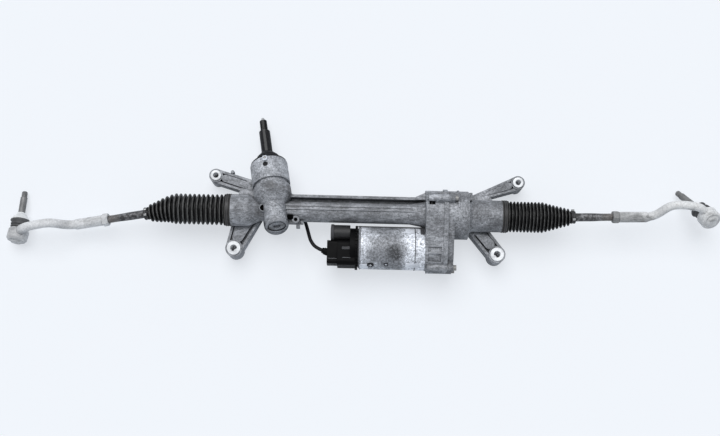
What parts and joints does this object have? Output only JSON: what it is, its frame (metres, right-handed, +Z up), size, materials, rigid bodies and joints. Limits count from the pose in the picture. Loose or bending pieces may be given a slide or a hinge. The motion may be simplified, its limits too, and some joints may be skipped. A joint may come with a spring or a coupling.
{
  "type": "electric power steering rack",
  "caption": "Rack-and-pinion power steering gear with belt-driven ball nut, motor, pleated bellows and both tie rods, each ending in a ball stud.",
  "frame": {"origin": "midway between the two front mounting holes, on the plane of the four bushes' lower faces", "axes": "+X along the rack towards the ball-nut end, +Y towards the input shaft, +Z up out of the mounting plane"},
  "size_m": [1.3995, 0.3133, 0.118],
  "materials": {
    "casting": "sand-cast, satin",
    "motor_can": "drawn and plated",
    "bush_zinc": "bright zinc plated",
    "steel": "machined",
    "spring_steel": "tempered",
    "dark_steel": "blackened",
    "rod_steel": "dark grey-brown coating",
    "forged_grey": "pale grey coating",
    "nut_zinc": "zinc plated",
    "yoke_alloy": "machined",
    "lamination": "stamped and wound",
    "black_plastic": "moulded",
    "pale_plastic": "moulded",
    "rubber": "moulded",
    "belt_rubber": "toothed belt",
    "cable_sheath": "smooth sheath"
  },
  "bodies": {
    "housing": {"rack_housing": "casting", "gear_housing": "casting", "sensor_housing": "casting", "housing_screws": "steel", "front_bushes": "bush_zinc", "rear_bushes": "bush_zinc", "pinion_plug": "steel", "pinion_bearings": "steel", "yoke": "yoke_alloy", "yoke_spring": "spring_steel", "yoke_plug": "steel", "dust_cap": "rubber", "torque_sensor": "black_plastic", "rack_bush": "pale_plastic", "nut_bearing": "steel", "belt": "belt_rubber", "motor_case": "motor_can", "motor_bearings": "steel", "stator": "lamination", "motor_plug": "rubber", "ecu_housing": "black_plastic", "power_connector": "black_plastic", "signal_connector": "black_plastic", "cable_gland": "rubber", "cable_grommet": "rubber", "sensor_cable": "cable_sheath", "large_clamps": "nut_zinc", "left_bellows": "rubber", "right_bellows": "rubber"},
    "rack": {"rack_bar": "steel", "left_joint_socket": "rod_steel", "right_joint_socket": "rod_steel"},
    "pinion": {"pinion": "steel", "torsion_bar": "steel"},
    "input_shaft": {"input_shaft": "dark_steel"},
    "ball_nut": {"ball_nut": "steel", "nut_pulley": "steel"},
    "rotor": {"rotor": "steel", "motor_pulley": "steel"},
    "left_swing": {"left_rear_race": "pale_plastic"},
    "left_lift": {"left_front_race": "pale_plastic"},
    "left_rod": {"left_tie_rod": "rod_steel", "left_small_clamp": "nut_zinc", "left_lock_nut": "nut_zinc", "left_rod_end": "forged_grey", "left_end_cap": "steel"},
    "left_seat": {"left_stud_seat": "pale_plastic"},
    "left_boot": {"left_stud_boot": "rubber"},
    "left_stud": {"left_stud": "steel"},
    "right_swing": {"right_rear_race": "pale_plastic"},
    "right_lift": {"right_front_race": "pale_plastic"},
    "right_rod": {"right_tie_rod": "rod_steel", "right_small_clamp": "nut_zinc", "right_lock_nut": "nut_zinc", "right_rod_end": "forged_grey", "right_end_cap": "steel"},
    "right_seat": {"right_stud_seat": "pale_plastic"},
    "right_boot": {"right_stud_boot": "rubber"},
    "right_stud": {"right_stud": "steel"}
  },
  "joints": [
    {"name": "rack_slide", "type": "slide", "parent": "housing", "child": "rack", "axis": [1, 0, 0], "range_m": [-0.0611, 0.0883], "deforming": ["left_bellows", "right_bellows"]},
    {"name": "pinion_turn", "type": "hinge", "parent": "housing", "child": "pinion", "pos_m": [-0.1786, 0.07916, 0.08091], "axis": [-0.1736, 0.9254, -0.3368], "range_deg": [-617, 427]},
    {"name": "nut_turn", "type": "hinge", "parent": "housing", "child": "ball_nut", "pos_m": [0.15, 0.073, 0.064], "axis": [1, 0, 0], "range_deg": [-2201, 3180]},
    {"name": "motor_turn", "type": "hinge", "parent": "housing", "child": "rotor", "pos_m": [0.05, 0.0055, 0.056], "axis": [1, 0, 0], "range_deg": [-5501, 7949]},
    {"name": "input_twist", "type": "hinge", "parent": "pinion", "child": "input_shaft", "pos_m": [-0.1786, 0.07916, 0.08091], "axis": [-0.1736, 0.9254, -0.3368], "range_deg": [-4.5, 4.5], "stiffness_Nm_per_rad": 130},
    {"name": "left_rod_swing", "type": "hinge", "parent": "rack", "child": "left_swing", "pos_m": [-0.3666, 0.073, 0.064], "axis": [0, 0, 1], "range_deg": [-28.9, 11.1]},
    {"name": "left_rod_lift", "type": "hinge", "parent": "left_swing", "child": "left_lift", "pos_m": [-0.3666, 0.073, 0.064], "axis": [0.1547, -0.988, 0], "range_deg": [-26.9, 13.1]},
    {"name": "left_rod_roll", "type": "hinge", "parent": "left_lift", "child": "left_rod", "pos_m": [-0.3666, 0.073, 0.064], "axis": [-0.9808, -0.1536, -0.1201], "range_deg": [-30, 30]},
    {"name": "left_stud_tilt", "type": "hinge", "parent": "left_rod", "child": "left_seat", "pos_m": [-0.6883, 0.02262, 0.02459], "axis": [-0.1485, 0.1887, 0.9708], "range_deg": [-27, 13], "deforming": ["left_stud_boot"]},
    {"name": "left_stud_sway", "type": "hinge", "parent": "left_seat", "child": "left_boot", "pos_m": [-0.6883, 0.02262, 0.02459], "axis": [-0.9889, -0.0171, -0.1479], "range_deg": [-20, 20]},
    {"name": "left_stud_spin", "type": "hinge", "parent": "left_boot", "child": "left_stud", "pos_m": [-0.6883, 0.02262, 0.02459], "axis": [0.0113, 0.9819, -0.1891], "continuous": true},
    {"name": "right_rod_swing", "type": "hinge", "parent": "rack", "child": "right_swing", "pos_m": [0.3394, 0.073, 0.064], "axis": [0, 0, 1], "range_deg": [-21.7, 18.3]},
    {"name": "right_rod_lift", "type": "hinge", "parent": "right_swing", "child": "right_lift", "pos_m": [0.3394, 0.073, 0.064], "axis": [-0.0297, 0.9996, 0], "range_deg": [-20, 20]},
    {"name": "right_rod_roll", "type": "hinge", "parent": "right_lift", "child": "right_rod", "pos_m": [0.3394, 0.073, 0.064], "axis": [0.9996, 0.0297, 0], "range_deg": [-30, 30]},
    {"name": "right_stud_tilt", "type": "hinge", "parent": "right_rod", "child": "right_seat", "pos_m": [0.66726, 0.08273, 0.064], "axis": [0.0199, -0.669, -0.743], "range_deg": [-8, 32], "deforming": ["right_stud_boot"]},
    {"name": "right_stud_sway", "type": "hinge", "parent": "right_seat", "child": "right_boot", "pos_m": [0.66726, 0.08273, 0.064], "axis": [0.8806, 0.3636, -0.3039], "range_deg": [-20, 20]},
    {"name": "right_stud_spin", "type": "hinge", "parent": "right_boot", "child": "right_stud", "pos_m": [0.66726, 0.08273, 0.064], "axis": [-0.4734, 0.6483, -0.5963], "continuous": true}
  ],
  "couplings": [
    {"joint": "pinion_turn", "follows": "rack_slide", "rad_per_m": -121.58},
    {"joint": "nut_turn", "follows": "rack_slide", "rad_per_m": 628.32},
    {"joint": "motor_turn", "follows": "rack_slide", "rad_per_m": 1570.8}
  ]
}
